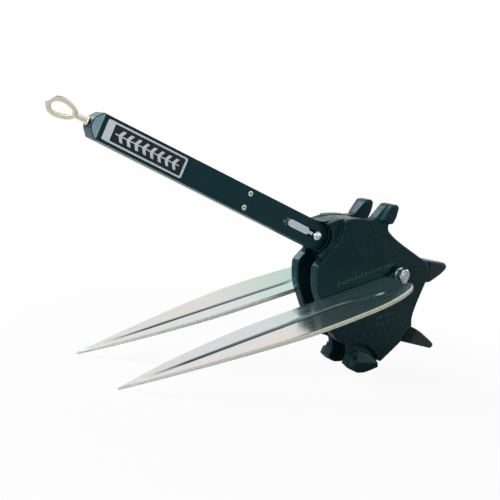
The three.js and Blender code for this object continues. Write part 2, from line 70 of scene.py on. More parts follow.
PIN = Vector((29.7492, 0.0, 145.2162)) * MM
BOLT = Vector((149.6012, 0.0, 115.6671)) * MM
SHANK_S = Vector((-0.968591, 0.0, 0.248661))      # along the shank, from the pin to the eye
SHANK_P = Vector((-0.248661, 0.0, -0.968591))     # across the shank, downwards
BLADE_ROOT = Vector((129.656, 0.0, 107.9184)) * MM
BLADE_S = Vector((-0.94875, 0.0, -0.31602))       # along a blade, towards its tip
BLADE_N = Vector((-0.31602, 0.0, 0.94875))        # up from a blade's face


def shank_point(s, p, w):
    return PIN + SHANK_S * (s * MM) + SHANK_P * (p * MM) + Vector((0, -w * MM, 0))


def blade_point(s, w, h, side):
    return BLADE_ROOT + BLADE_S * (s * MM) + BLADE_N * (h * MM) + Vector((0, -w * side * MM, 0))


# ------------------------------------------------------------------ materials
class Nodes:
    def __init__(self, name):
        self.mat = bpy.data.materials.new(name)
        self.mat.use_nodes = True
        self.tree = self.mat.node_tree
        self.bsdf = next(n for n in self.tree.nodes if n.type == "BSDF_PRINCIPLED")

    def add(self, kind, **values):
        n = self.tree.nodes.new(kind)
        for k, v in values.items():
            if k.startswith("in_"):
                n.inputs[k[3:].replace("_", " ")].default_value = v
            else:
                setattr(n, k, v)
        return n

    def link(self, a, b):
        self.tree.links.new(a, b)

    def set(self, **values):
        for k, v in values.items():
            self.bsdf.inputs[k.replace("_", " ")].default_value = v

    def coords(self, rotation=(0, 0, 0), scale=(1, 1, 1)):
        tc = self.add("ShaderNodeTexCoord")
        m1 = self.add("ShaderNodeMapping")
        m1.inputs["Rotation"].default_value = rotation
        m2 = self.add("ShaderNodeMapping")
        m2.inputs["Scale"].default_value = scale
        self.link(tc.outputs["Object"], m1.inputs["Vector"])
        self.link(m1.outputs["Vector"], m2.inputs["Vector"])
        return m2.outputs["Vector"]

    def noise(self, vector, scale, detail=3.0, rough=0.55, distortion=0.0):
        n = self.add("ShaderNodeTexNoise")
        n.inputs["Scale"].default_value = scale
        n.inputs["Detail"].default_value = detail
        n.inputs["Roughness"].default_value = rough
        n.inputs["Distortion"].default_value = distortion
        self.link(vector, n.inputs["Vector"])
        return n.outputs["Fac"]

    def ramp(self, fac, stops, interpolation="LINEAR"):
        r = self.add("ShaderNodeValToRGB")
        r.color_ramp.interpolation = interpolation
        el = r.color_ramp.elements
        while len(el) < len(stops):
            el.new(0.5)
        for e, (pos, col) in zip(el, stops):
            e.position = pos
            e.color = (*col, 1.0) if len(col) == 3 else col
        self.link(fac, r.inputs["Fac"])
        return r.outputs["Color"]

    def map(self, value, lo, hi, a=0.0, b=1.0):
        r = self.add("ShaderNodeMapRange")
        r.clamp = True
        for k, v in (("From Min", a), ("From Max", b), ("To Min", lo), ("To Max", hi)):
            r.inputs[k].default_value = v
        self.link(value, r.inputs["Value"])
        return r.outputs["Result"]

    def mix(self, fac, a, b, blend="MIX"):
        m = self.add("ShaderNodeMix", data_type="RGBA", blend_type=blend)
        for v, s in ((fac, m.inputs[0]), (a, m.inputs[6]), (b, m.inputs[7])):
            if isinstance(v, (tuple, list)):
                s.default_value = (*v, 1.0) if len(v) == 3 else v
            elif isinstance(v, (int, float)):
                s.default_value = v
            else:
                self.link(v, s)
        return m.outputs[2]

    def bumps(self, *layers):
        """layers of (height, strength, distance in metres), chained"""
        normal = None
        for height, strength, distance in layers:
            b = self.add("ShaderNodeBump")
            b.inputs["Strength"].default_value = strength
            b.inputs["Distance"].default_value = distance
            self.link(height, b.inputs["Height"])
            if normal is not None:
                self.link(normal, b.inputs["Normal"])
            normal = b.outputs["Normal"]
        self.link(normal, self.bsdf.inputs["Normal"])


def black_paint(name, cast=True, shine=0.25, lift=1.0):
    """gloss enamel, black with a blue-green cast; on the castings the edges are lightened, partly as paint rubbed thin
    there and partly as a painted edge highlight
    """
    n = Nodes(name)
    v = n.coords()
    broad = n.noise(v, 28, 3)
    fine = n.noise(v, 900 if cast else 1500, 3, 0.6)
    mid = n.noise(v, 190 if cast else 260, 4, 0.6)
    base = n.mix(n.map(broad, 0.0, 1.0, 0.35, 0.7), tuple(c * lift for c in (0.0040, 0.0200, 0.0250)),
                 tuple(c * lift for c in (0.0068, 0.0275, 0.0335)))
    if cast:
        # painted highlight: sharp edges lightened towards teal, partly rubbed paint and partly a painted edge highlight
        geo = n.add("ShaderNodeNewGeometry")
        edge_wear_and_highlight = n.map(geo.outputs["Pointiness"], 0.0, 1.0, 0.520, 0.585)
        speck = n.map(mid, 0.25, 1.0, 0.46, 0.66)
        wear_and_highlight = n.add("ShaderNodeMath", operation="MULTIPLY")
        n.link(edge_wear_and_highlight, wear_and_highlight.inputs[0])
        n.link(speck, wear_and_highlight.inputs[1])
        base = n.mix(wear_and_highlight.outputs[0], base, (0.105, 0.185, 0.210))
    n.link(base, n.bsdf.inputs["Base Color"])
    rough = n.map(mid, 0.20 if cast else 0.25, 0.40 if cast else 0.34, 0.3, 0.7)
    n.link(rough, n.bsdf.inputs["Roughness"])
    n.set(Specular_IOR_Level=shine, Specular_Tint=(0.36, 0.86, 1.0, 1.0))
    if cast:
        n.bumps((broad, 0.30, 0.0022), (mid, 0.20, 0.0006), (fine, 0.10, 0.00018))
    else:
        n.bumps((broad, 0.08, 0.0012), (mid, 0.05, 0.0002), (fine, 0.05, 0.0001))
    return n.mat


def zinc(name, rough=(0.12, 0.22), edge=False):
    """bright zinc plate with a thin passivation film: faint pink, blue and yellow-green over the steel"""
    n = Nodes(name)
    turn = (0.0, -0.3215, 0.0)
    v = n.coords(rotation=turn, scale=(1, 1, 1))
    long = n.coords(rotation=turn, scale=(0.05, 1, 1))
    cloud = n.noise(v, 16, 3, 0.5, 0.6)
    streak = n.noise(long, 620, 3, 0.6)
    broad_streak = n.noise(long, 120, 3, 0.55)
    tc = n.add("ShaderNodeTexCoord")
    sep = n.add("ShaderNodeSeparateXYZ")
    n.link(tc.outputs["Object"], sep.inputs[0])
    ab = n.add("ShaderNodeMath", operation="ABSOLUTE")
    n.link(sep.outputs["Y"], ab.inputs[0])
    root = n.map(sep.outputs["X"], 0.0, 1.0, -0.035, 0.075)      # 1 towards the root of the blade
    if edge:
        tip = n.ramp(cloud, [(0.30, (0.88, 0.86, 0.74)), (0.50, (0.92, 0.89, 0.78)), (0.68, (0.85, 0.86, 0.72))])
        base = n.ramp(cloud, [(0.30, (0.74, 0.72, 0.50)), (0.50, (0.82, 0.80, 0.60)), (0.68, (0.70, 0.74, 0.50))])
        colour = n.mix(root, tip, base)
    else:
        film = n.ramp(cloud, [(0.30, (0.72, 0.775, 0.79)), (0.43, (0.79, 0.775, 0.745)), (0.54, (0.82, 0.745, 0.72)),
                              (0.64, (0.745, 0.77, 0.67)), (0.76, (0.75, 0.775, 0.78))])
        # painted reflection: the two halves of the leaf, tilted apart by the fold, are tinted for the light they
        # reflect, cooler on the inner half and warmer on the outer half
        half = n.map(ab.outputs[0], 0.0, 1.0, 0.040, 0.054)
        outer_half_reflection = n.mix(0.55, film, (0.86, 0.785, 0.755))
        inner_half_reflection = n.mix(0.55, film, (0.725, 0.80, 0.82))
        film_with_half_reflections = n.mix(half, inner_half_reflection, outer_half_reflection)
        rim = n.map(ab.outputs[0], 0.0, 0.65, 0.064, 0.081)
        colour = n.mix(rim, film_with_half_reflections, (0.80, 0.80, 0.66))
        # painted reflection: a green-teal tint towards the root of the blade stands in for the black cheek reflected in
        # the plate
        cheek_reflection_green = n.mix(0.8, colour, (0.40, 0.72, 0.64))
        colour = n.mix(root, colour, cheek_reflection_green)
        colour = n.mix(n.map(streak, 0.0, 0.20, 0.35, 0.7), colour, (0.55, 0.56, 0.55))
        colour = n.mix(0.10, colour, (0.42, 0.45, 0.46))
        # painted shade: a dark line painted along the pressed groove, where the groove lies in shade
        off = n.add("ShaderNodeMath", operation="SUBTRACT")
        n.link(ab.outputs[0], off.inputs[0])
        off.inputs[1].default_value = 0.046
        dist = n.add("ShaderNodeMath", operation="ABSOLUTE")
        n.link(off.outputs[0], dist.inputs[0])
        groove_shade_line = n.map(dist.outputs[0], 0.85, 0.0, 0.0009, 0.0027)
        span_root = n.map(sep.outputs["X"], 1.0, 0.0, 0.040, 0.085)
        span_tip = n.map(sep.outputs["X"], 0.0, 1.0, -0.165, -0.120)
        one = n.add("ShaderNodeMath", operation="MULTIPLY")
        n.link(groove_shade_line, one.inputs[0])
        n.link(span_root, one.inputs[1])
        two = n.add("ShaderNodeMath", operation="MULTIPLY")
        n.link(one.outputs[0], two.inputs[0])
        n.link(span_tip, two.inputs[1])
        colour = n.mix(two.outputs[0], colour, (0.085, 0.145, 0.140))
    n.link(colour, n.bsdf.inputs["Base Color"])
    n.link(n.map(broad_streak, rough[0], rough[1], 0.3, 0.7), n.bsdf.inputs["Roughness"])
    n.set(Metallic=0.60 if edge else 0.96)
    n.bumps((broad_streak, 0.05, 0.0004), (streak, 0.04, 0.00010))
    return n.mat


def metal(name, base, dark, rough=(0.16, 0.3), scale=260, bump=0.08):
    n = Nodes(name)
    v = n.coords()
    cloud = n.noise(v, scale, 3)
    fine = n.noise(v, scale * 5, 3)
    n.link(n.mix(n.map(cloud, 0.0, 1.0, 0.35, 0.7), base, dark), n.bsdf.inputs["Base Color"])
    n.link(n.map(fine, rough[0], rough[1], 0.3, 0.7), n.bsdf.inputs["Roughness"])
    n.set(Metallic=1.0)
    n.bumps((cloud, bump, 0.0003), (fine, bump * 0.7, 0.0001))
    return n.mat


def satin(name, base, other, rough=(0.32, 0.45), metallic=0.0, spec=0.4, scale=300):
    n = Nodes(name)
    v = n.coords()
    cloud = n.noise(v, scale, 3)
    fine = n.noise(v, scale * 6, 2)
    n.link(n.mix(n.map(cloud, 0.0, 1.0, 0.35, 0.7), base, other), n.bsdf.inputs["Base Color"])
    n.link(n.map(fine, rough[0], rough[1], 0.3, 0.7), n.bsdf.inputs["Roughness"])
    n.set(Metallic=metallic, Specular_IOR_Level=spec)
    n.bumps((fine, 0.08, 0.0001))
    return n.mat


CAST = black_paint("black_cast_paint", True)
BAR = black_paint("black_bar_paint", False, 0.28, 1.7)
CLAW = black_paint("black_claw_paint", False, 0.07, 0.9)
ZINC = zinc("plated_steel")
ZINC_EDGE = zinc("plated_steel_edge", edge=True, rough=(0.24, 0.38))
BRIGHT = metal("bright_steel", (0.86, 0.91, 0.92), (0.72, 0.78, 0.80), (0.14, 0.28))
PALE = metal("lock_steel", (0.86, 0.93, 0.96), (0.74, 0.83, 0.87), (0.26, 0.40))
GOLD = metal("gold_plate", (0.93, 0.85, 0.71), (0.84, 0.75, 0.60), (0.20, 0.32), 110, 0.03)
SILVER = metal("label_silver", (0.80, 0.84, 0.85), (0.68, 0.74, 0.76), (0.28, 0.42), 400, 0.05)
PANEL = satin("label_black", (0.006, 0.019, 0.024), (0.010, 0.030, 0.037), (0.28, 0.42), 0.0, 0.3)
MARK = satin("worn_relief", (0.050, 0.085, 0.092), (0.16, 0.22, 0.23), (0.25, 0.4), 0.0, 0.4, 500)
CAP = satin("cap_grey", (0.24, 0.41, 0.50), (0.46, 0.62, 0.68), (0.22, 0.34), 0.35, 0.5, 60)
BRONZE = metal("bronze", (0.52, 0.36, 0.18), (0.42, 0.29, 0.15), (0.25, 0.4))


# ------------------------------------------------------------------ mesh helpers
def raw(node):
    """a clean bmesh of a CAD node: welded, with its normals made consistent"""
    me = NODES[node].data
    bm = bmesh.new()
    verts = [bm.verts.new(v.co) for v in me.vertices]
    bm.verts.ensure_lookup_table()
    for p in me.polygons:
        try:
            bm.faces.new([verts[i] for i in p.vertices])
        except ValueError:
            pass
    bmesh.ops.remove_doubles(bm, verts=bm.verts, dist=2e-6)
    bmesh.ops.recalc_face_normals(bm, faces=bm.faces)
    return bm


def to_object(bm, name, materials):
    me = bpy.data.meshes.new(name)
    bm.to_mesh(me)
    bm.free()
    for m in materials:
        me.materials.append(m)
    o = bpy.data.objects.new(name, me)
    bpy.context.scene.collection.objects.link(o)
    return o


def applied(o, smooth_angle=None):
    """the modifiers' result becomes the mesh"""
    dg = bpy.context.evaluated_depsgraph_get()
    me = bpy.data.meshes.new_from_object(o.evaluated_get(dg), depsgraph=dg)
    me.name = o.name
    o.modifiers.clear()
    o.data = me
    for p in me.polygons:
        p.use_smooth = True
    if smooth_angle is not None:
        me.set_sharp_from_angle(angle=math.radians(smooth_angle))
    return o


def finish_piece(o, body, nodes=()):
    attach(o, body)
    if nodes:
        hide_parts(*nodes)
    return o


def body_of(node):
    return NODES[node]["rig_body"]


def take(node, materials, bevel=0.6, segments=3, angle=32, dissolve=1.5, smooth=38, name=None, limit=True):
    """a CAD node's shape with rounded edges"""
    bm = raw(node)
    if dissolve:
        bmesh.ops.dissolve_limit(bm, angle_limit=math.radians(dissolve), verts=bm.verts, edges=bm.edges)
    o = to_object(bm, name or node + "_v", materials)
    if bevel:
        b = o.modifiers.new("round", "BEVEL")
        b.width = bevel * MM
        b.segments = segments
        b.limit_method = "ANGLE"
        b.angle_limit = math.radians(angle)
        b.use_clamp_overlap = limit
        b.harden_normals = False
        b.miter_outer = "MITER_ARC"
    applied(o, smooth)
    w = o.modifiers.new("normals", "WEIGHTED_NORMAL")
    w.keep_sharp = True
    w.weight = 80
    applied_keep(o)
    return finish_piece(o, body_of(node), (node,))


def applied_keep(o):
    dg = bpy.context.evaluated_depsgraph_get()
    me = bpy.data.meshes.new_from_object(o.evaluated_get(dg), depsgraph=dg)
    me.name = o.name
    o.modifiers.clear()
    o.data = me
    return o


def cast(node, slot, voxel=0.85, smooth=5, factor=0.5, extra=None, name=None, material=None, smooth_angle=None):
    """a casting: the CAD shape with its edges rolled over and its fillets filled, as sand casting leaves them"""
    bm = raw(node)
    o = to_object(bm, name or node + "_v", [material or CAST])
    if extra:
        extra(o)
    r = o.modifiers.new("voxels", "REMESH")
    r.mode = "VOXEL"
    r.voxel_size = voxel * MM
    r.adaptivity = 0.0
    s = o.modifiers.new("soft", "SMOOTH")
    s.factor = factor
    s.iterations = smooth
    applied(o, smooth_angle)
    return finish_piece(o, body_of(node), (node,))


def lathe(name, profile, centre, axis, up, segments=48, materials=(BRIGHT,), smooth=35):
    """profile of (radius, height) in mm, turned about an axis through centre; closed at the axis where the radius is 0"""
    axis = Vector(axis).normalized()
    e1 = Vector(up).normalized()
    e2 = axis.cross(e1)
    bm = bmesh.new()
    rings = []
    for r, h in profile:
        c = centre + axis * (h * MM)
        if r < 1e-4:
            rings.append([bm.verts.new(c)])
        else:
            rings.append([bm.verts.new(c + (e1 * math.cos(a) + e2 * math.sin(a)) * (r * MM))
                          for a in (2 * math.pi * i / segments for i in range(segments))])
    closed = profile[0] == profile[-1]
    if closed:
        for v in rings[-1]:
            bm.verts.remove(v)
        rings[-1] = rings[0]
    for a, b in zip(rings, rings[1:]):
        for i in range(segments):
            j = (i + 1) % segments
            if len(a) == 1 and len(b) == 1:
                continue
            if len(a) == 1:
                bm.faces.new([a[0], b[i], b[j]])
            elif len(b) == 1:
                bm.faces.new([a[i], b[0], a[j]])
            else:
                bm.faces.new([a[i], b[i], b[j], a[j]])
    bmesh.ops.recalc_face_normals(bm, faces=bm.faces)
    o = to_object(bm, name, materials)
    for p in o.data.polygons:
        p.use_smooth = True
    o.data.set_sharp_from_angle(angle=math.radians(smooth))
    return o


# ------------------------------------------------------------------ head castings
cheek_near = cast("cheek_near", "black_paint", voxel=0.85, smooth=4)
cheek_far = cast("cheek_far", "black_paint", voxel=0.85, smooth=4)
centre = cast("centre_casting", "black_paint", voxel=0.85, smooth=3)
claw_a = cast("claw_upper", "black_paint", voxel=0.7, smooth=5, material=CLAW)
claw_b = cast("claw_lower", "black_paint", voxel=0.7, smooth=5, material=CLAW)


# cast relief on the near cheek: plain bars and dots, no lettering
def relief_bar(bm, u, v, length, turn, width=1.3, height=0.28, base=21.45):
    """a low bar with sloping sides, lying on the cheek's outer face"""
    ca, sa = math.cos(turn), math.sin(turn)
    low, top = [], []
    n = 6
    half = length / 2
    outline = []
    for i in range(n + 1):
        a = -math.pi / 2 + math.pi * i / n
        outline.append((half + math.cos(a) * width / 2, math.sin(a) * width / 2))
    for i in range(n + 1):
        a = math.pi / 2 + math.pi * i / n
        outline.append((-half + math.cos(a) * width / 2, math.sin(a) * width / 2))
    for x, y in outline:
        low.append(bm.verts.new(head_point(u + x * ca - y * sa, v + x * sa + y * ca, base)))
        kx = half if x > 0 else -half
        tx, ty = kx + (x - kx) * 0.62, y * 0.62
        top.append(bm.verts.new(head_point(u + tx * ca - ty * sa, v + tx * sa + ty * ca, base + height)))
    m = len(outline)
    bm.faces.new(low[::-1])
    bm.faces.new(top)
    for i in range(m):
        j = (i + 1) % m
        bm.faces.new([low[i], low[j], top[j], top[i]])


bm = bmesh.new()
row = [(-46, 4.2, 1.2), (-41, 2.2, -0.5), (-36.4, 3.6, 1.4), (-31.5, 3.6, 0.2), (-27, 2.4, -1.2), (-22, 4.2, 1.3),
       (-16.5, 3.0, 0.0), (-11.5, 4.0, -1.3), (-6.0, 3.4, 1.3), (1.0, 2.6, 0.3), (6.0, 4.0, 1.2), (11.0, 2.6, -0.4),
       (16.0, 3.6, 1.3), (24.5, 3.0, 0.2), (30.0, 3.6, 1.4), (35.5, 3.0, 0.1)]
for u, length, turn in row:
    v = -2.6 + (u + 48.7) / 87.7 * 9.9
    relief_bar(bm, u, v, length, turn, 1.15)
for u, v, length, turn in [(15.2, -53.5, 0.6, 0), (20.0, -53.0, 2.2, 0.1), (26.0, -52.2, 0.6, 0), (31.2, -52.6, 2.6, 0.05),
                           (38.0, -52.0, 0.6, 0), (43.4, -51.6, 0.8, 0.8), (54.7, -50.8, 0.9, 0)]:
    relief_bar(bm, u, v, length, turn, 1.3)
for u, v, length, turn in [(15.0, -60.5, 1.8, 0.1), (24.5, -63.5, 0.8, 0.9), (31.5, -61.0, 1.6, 0.6), (40.0, -60.0, 0.6, 0.0),
                           (28.0, -70.5, 0.9, 0.3)]:
    relief_bar(bm, u, v, length, turn, 1.2)
bmesh.ops.recalc_face_normals(bm, faces=bm.faces)
relief = to_object(bm, "cast_relief_marks", [MARK])
for p in relief.data.polygons:
    p.use_smooth = False
finish_piece(relief, "head")

# ------------------------------------------------------------------ shank
shank = take("shank_bar", [BAR], bevel=0.9, segments=4, angle=40, dissolve=2.0, smooth=40)
cap = take("end_cap", [BAR], bevel=0.5, segments=3, angle=30, smooth=40)
tail = take("label_tail", [CAP], bevel=0.12, segments=2, angle=30)
plate = take("label_plate", [PANEL], bevel=0.1, segments=2)
frame_piece = take("label_frame", [SILVER], bevel=0.16, segments=2, angle=40)
motif = take("label_motif", [SILVER], bevel=0.08, segments=2, angle=30)
lock = take("lock_slide", [PALE], bevel=0.45, segments=3, angle=40)

for name, s, p in (("rivet_upper", 99.5, -7.35), ("rivet_lower", 100.5, 7.35)):
    prof = [(1.0, -8.55), (1.25, -8.7), (2.3, -8.7), (2.65, -8.5), (2.72, -8.2), (2.6, -8.1), (1.85, -8.1), (1.85, 8.1),
            (2.6, 8.1), (2.72, 8.2), (2.65, 8.5), (2.3, 8.7), (1.25, 8.7), (1.0, 8.55), (1.0, -8.55)]
    o = lathe(name + "_v", prof, shank_point(s, p, 0), (0, -1, 0), (1, 0, 0), 40)
    finish_piece(o, "shank", (name,))

# ------------------------------------------------------------------ pivot pin with its domed heads
prof = [(0, -8.3), (3.4, -8.3), (3.7, -8.0), (3.7, 8.3), (5.3, 8.3), (5.5, 8.5), (5.5, 9.4), (5.35, 10.1), (5.0, 10.8),
        (4.4, 11.4), (3.6, 11.9), (2.6, 12.2), (1.4, 12.42), (0, 12.5)]
o = lathe("pivot_pin_v", prof, PIN, (0, -1, 0), (1, 0, 0), 56)
finish_piece(o, "head", ("pivot_pin",))
prof = [(0, -12.5), (1.4, -12.42), (2.6, -12.2), (3.6, -11.9), (4.4, -11.4), (5.0, -10.8), (5.35, -10.1), (5.5, -9.4),
        (5.5, -8.8), (5.3, -8.6), (0, -8.6)]
o = lathe("pin_head_far_v", prof, PIN, (0, -1, 0), (1, 0, 0), 56)
finish_piece(o, "head", ("pin_head_far",))

# ------------------------------------------------------------------ swivel eye
eye = cast("eye_ring", "gold_plated", voxel=0.4, smooth=5, material=GOLD)
take("eye_nut", [BRIGHT], bevel=0.3, segments=2)
take("eye_washer", [BRIGHT], bevel=0.2, segments=2)

# ------------------------------------------------------------------ blades: leaf plates with a pressed crease
OUTER = [(-6.6, 46), (-7.2, 52), (-6.2, 58.5), (-1.8, 63.5), (5, 67.6), (12, 70.4), (27, 75.2), (51, 79.3), (72, 80.9), (97, 81.5),
         (121, 81.3), (142, 80.4), (166, 78.4), (208, 72.3), (248, 64.9), (274, 59.7), (298, 54.5), (322, 48.8), (331, 46.6), (336.0, 45.2)]
INNER = [(-6.6, 46), (-6.2, 40), (-5.0, 33), (-3.6, 26.5), (-2.0, 22.4), (2.0, 22.0), (30, 22.0), (70, 22.0), (110, 22.0), (140, 22.0), (165, 22.05), (190, 22.5),
         (222, 24.8), (261.3, 29.7), (297.6, 35.8), (322, 41.6), (331, 44.0), (336.0, 45.2)]


def spline(points, n):
    """n + 1 points along a Catmull-Rom curve, evenly spaced"""
    dense = []
    for i in range(len(points) - 1):
        p0 = points[max(i - 1, 0)]
        p1, p2 = points[i], points[i + 1]
        p3 = points[min(i + 2, len(points) - 1)]
        for k in range(24):
            t = k / 24
            dense.append(tuple(
                0.5 * (2 * b + (c - a) * t + (2 * a - 5 * b + 4 * c - d) * t * t + (3 * b - a - 3 * c + d) * t ** 3)
                for a, b, c, d in zip(p0, p1, p2, p3)))
    dense.append(points[-1])
    length = [0.0]
    for a, b in zip(dense, dense[1:]):
        length.append(length[-1] + math.dist(a, b))
    out = []
    k = 0
    for i in range(n + 1):
        target = length[-1] * i / n
        while k < len(length) - 2 and length[k + 1] < target:
            k += 1
        f = (target - length[k]) / max(length[k + 1] - length[k], 1e-9)
        out.append(tuple(a + (b - a) * f for a, b in zip(dense[k], dense[k + 1])))
    return out


RIDGE_W = 46.0


def roof(w):
    """the plate's middle surface: folded along its middle, which lies lower than its edges"""
    return -0.9 + 0.06 * abs(w - RIDGE_W)


def groove_centre(s):
    """the pressed groove runs along the fold and turns outwards near the root"""
    t = min(max((92 - s) / 60, 0), 1)
    return 46.0 + 9.0 * t * t * (3 - 2 * t)


def groove(s, w):
    """a pressed groove along the middle, dying out before both ends"""
    taper = min(max((s - 24) / 12, 0), 1) * min(max((306 - s) / 60, 0), 1)
    width = 2.2 + 1.2 * min(max((300 - s) / 160, 0), 1)
    d = abs(w - groove_centre(s)) / width
    if d >= 1 or taper <= 0:
        return 0.0
    return -1.15 * taper ** 0.6 * (1 - d) ** 0.9


def blade(side, name, node):
    stations = 150
    inner, outer = spline(INNER, stations), spline(OUTER, stations)
    bm = bmesh.new()
    rings = []
    half = 2.5
    for i in range(stations + 1):
        if i == 0:
            t = 0.35
            a = tuple(p + (q - p) * t for p, q in zip(inner[0], inner[1]))
            b = tuple(p + (q - p) * t for p, q in zip(outer[0], outer[1]))
        elif i == stations:
            t = 0.2
            a = tuple(p + (q - p) * t for p, q in zip(inner[-1], inner[-2]))
            b = tuple(p + (q - p) * t for p, q in zip(outer[-1], outer[-2]))
        else:
            a, b = inner[i], outer[i]
        width = math.dist(a, b)
        r = min(0.75, width * 0.22)
        xs = []
        # distances across: corner roundings at both edges and close samples round the rib
        corner = [r * (1 - math.cos(math.radians(d))) for d in (0, 22, 45, 67, 90)]
        drop = [r * (1 - math.sin(math.radians(d))) for d in (0, 22, 45, 67, 90)]
        mid_pos = (groove_centre((a[0] + b[0]) / 2) - a[1]) / (b[1] - a[1]) if abs(b[1] - a[1]) > 1e-6 else 0.5
        mid_pos = min(max(mid_pos, 0.2), 0.8)
        inside = []
        for k in range(1, 8):
            inside.append(k / 8 * mid_pos)
        for k in range(1, 8):
            inside.append(mid_pos + k / 8 * (1 - mid_pos))
        rib_half = min(3.6 / width, 0.16)
        for d in (-1, -0.8, -0.6, -0.4, -0.2, -0.08, 0, 0.08, 0.2, 0.4, 0.6, 0.8, 1):
            inside.append(mid_pos + rib_half * d)
        # one fixed count of samples for each station, in order
        inside = sorted(inside)
        lo, hi = corner[-1] / width, 1 - corner[-1] / width
        inside = [min(max(f, lo + 0.002 * (k + 1) / 30), hi - 0.002 * (30 - k) / 30) for k, f in enumerate(inside)]
        inside = sorted(inside)
        top = [(c / width, d) for c, d in zip(corner, drop)] + [(f, 0.0) for f in inside] + \
              [(1 - c / width, d) for c, d in zip(corner[::-1], drop[::-1])]
        ring = []
        for f, d in top:
            s = a[0] + (b[0] - a[0]) * f
            w = a[1] + (b[1] - a[1]) * f
            ring.append(bm.verts.new(blade_point(s, w, roof(w) + half - d + groove(s, w) - max(0.0, s - 120) * 0.0045, side)))
        low = [(1 - c / width, d) for c, d in zip(corner, drop)] + [(0.75, 0.0), (mid_pos, 0.0), (0.25 if mid_pos > 0.3 else mid_pos * 0.7, 0.0)] + \
              [(c / width, d) for c, d in zip(corner[::-1], drop[::-1])]
        for f, d in low:
            s = a[0] + (b[0] - a[0]) * f
            w = a[1] + (b[1] - a[1]) * f
            ring.append(bm.verts.new(blade_point(s, w, roof(w) - half + d + max(0.0, s - 120) * 0.00833, side)))
        rings.append(ring)
    n = len(rings[0])
    tops = 5 + 27 + 5
    edge_out = range(tops - 1, tops)      # the band between the top's last and the bottom's first sample
    for a, b in zip(rings, rings[1:]):
        for i in range(n):
            j = (i + 1) % n
            f = bm.faces.new([a[i], b[i], b[j], a[j]])
            if i in (tops - 1, n - 1) or i in (0, 1, tops - 2, tops - 3):
                f.material_index = 1
    bm.faces.new(rings[0])
    bm.faces.new(rings[-1][::-1])
    bmesh.ops.recalc_face_normals(bm, faces=bm.faces)
    o = to_object(bm, name, [ZINC, ZINC_EDGE])
    for p in o.data.polygons:
        p.use_smooth = True
    o.data.set_sharp_from_angle(angle=math.radians(50))
    return finish_piece(o, "blades", (node,))


blade_near = blade(1, "blade_near_v", "blade_near")
blade_far = blade(-1, "blade_far_v", "blade_far")


def hub(side, name):
    """the arm and ring that join a blade's root to the cross bolt"""
    cu, cv = 42.4, -5.6
    centre_hub = (cu, cv)
    pts = []
    root = [(17.5, -7.4), (17.5, -11.4)]
    for i in range(49):
        a = math.radians(142 - 292 * i / 48)
        pts.append((cu + 8.0 * math.cos(a), cv + 8.0 * math.sin(a)))
    outline = [(18.0, -7.9)] + pts + [(18.0, -10.6)]
    hole = [(cu + 5.05 * math.cos(2 * math.pi * i / 48), cv + 5.05 * math.sin(2 * math.pi * i / 48)) for i in range(48)]
    bm = bmesh.new()
    lo, hi = 21.9, 25.9
    lv = [bm.verts.new(head_point(u, v, lo * side)) for u, v in outline]
    hv = [bm.verts.new(head_point(u, v, hi * side)) for u, v in outline]
    lh = [bm.verts.new(head_point(u, v, lo * side)) for u, v in hole]
    hh = [bm.verts.new(head_point(u, v, hi * side)) for u, v in hole]
    m, k = len(outline), len(hole)
    for i in range(m):
        j = (i + 1) % m
        bm.faces.new([lv[i], lv[j], hv[j], hv[i]])
    for i in range(k):
        j = (i + 1) % k
        bm.faces.new([lh[j], lh[i], hh[i], hh[j]])
    for vs, hs in ((lv, lh), (hv, hh)):
        edges = []
        for loop in (vs, hs):
            for i in range(len(loop)):
                e = bm.edges.get((loop[i], loop[(i + 1) % len(loop)]))
                edges.append(e)
        bmesh.ops.triangle_fill(bm, edges=edges, use_beauty=True, use_dissolve=True)
    bmesh.ops.recalc_face_normals(bm, faces=bm.faces)
    o = to_object(bm, name, [CAST])
    b = o.modifiers.new("round", "BEVEL")
    b.width = 0.5 * MM
    b.segments = 3
    b.limit_method = "ANGLE"
    b.angle_limit = math.radians(50)
    applied(o, 38)
    return finish_piece(o, "blades")


hub(1, "blade_hub_near")
hub(-1, "blade_hub_far")

# ------------------------------------------------------------------ cross bolt, washers and nuts
prof = [(0, -35.2), (3.9, -35.2), (4.6, -34.5), (4.75, -34.2)]
h = -34.2
while h < -24.6:
    prof += [(4.75, h + 0.15), (4.35, h + 0.62), (4.35, h + 0.8), (4.75, h + 1.25)]
    h += 1.25
prof += [(4.75, -23.5), (4.75, 23.5)]
h = 24.2
while h < 33.0:
    prof += [(4.75, h + 0.15), (4.35, h + 0.62), (4.35, h + 0.8), (4.75, h + 1.25)]
    h += 1.25
prof += [(4.75, 34.2), (4.6, 34.5), (3.9, 35.2), (0, 35.2)]
bolt_profile = [prof[0]]
for q in prof[1:]:
    if q[1] >= bolt_profile[-1][1] - 1e-6:
        bolt_profile.append(q)
o = lathe("blade_bolt_v", bolt_profile, BOLT, (0, -1, 0), (1, 0, 0), 40)
finish_piece(o, "blades", ("blade_bolt",))

for side, node in ((1, "blade_washer_near"), (-1, "blade_washer_far")):
    prof = [(5.05, 26.3), (5.25, 26.2), (8.0, 26.2), (8.2, 26.4), (8.2, 27.2), (8.0, 27.4), (5.25, 27.4), (5.05, 27.3), (5.05, 26.3)]
    o = lathe(node + "_v", [(r, side * h) for r, h in prof], BOLT, (0, -1, 0), (1, 0, 0), 48)
    finish_piece(o, "blades", (node,))
take("blade_nut_near", [BRIGHT], bevel=0.35, segments=3, angle=25, dissolve=0.5)
take("blade_nut_far", [BRIGHT], bevel=0.35, segments=3, angle=25, dissolve=0.5)

# ------------------------------------------------------------------ pieces inside the head and on the far side
for i in range(1, 5):
    take(f"body_screw_{i}", [BRIGHT], bevel=0.3, segments=2, angle=40)
for node in ("claw_pin_upper", "claw_pin_lower"):
    take(node, [BRIGHT], bevel=0.3, segments=2, angle=40)
take("tongue_bush", [BRONZE], bevel=0.15, segments=2, angle=40)
take("bolt_bush", [BRONZE], bevel=0.2, segments=2, angle=40)

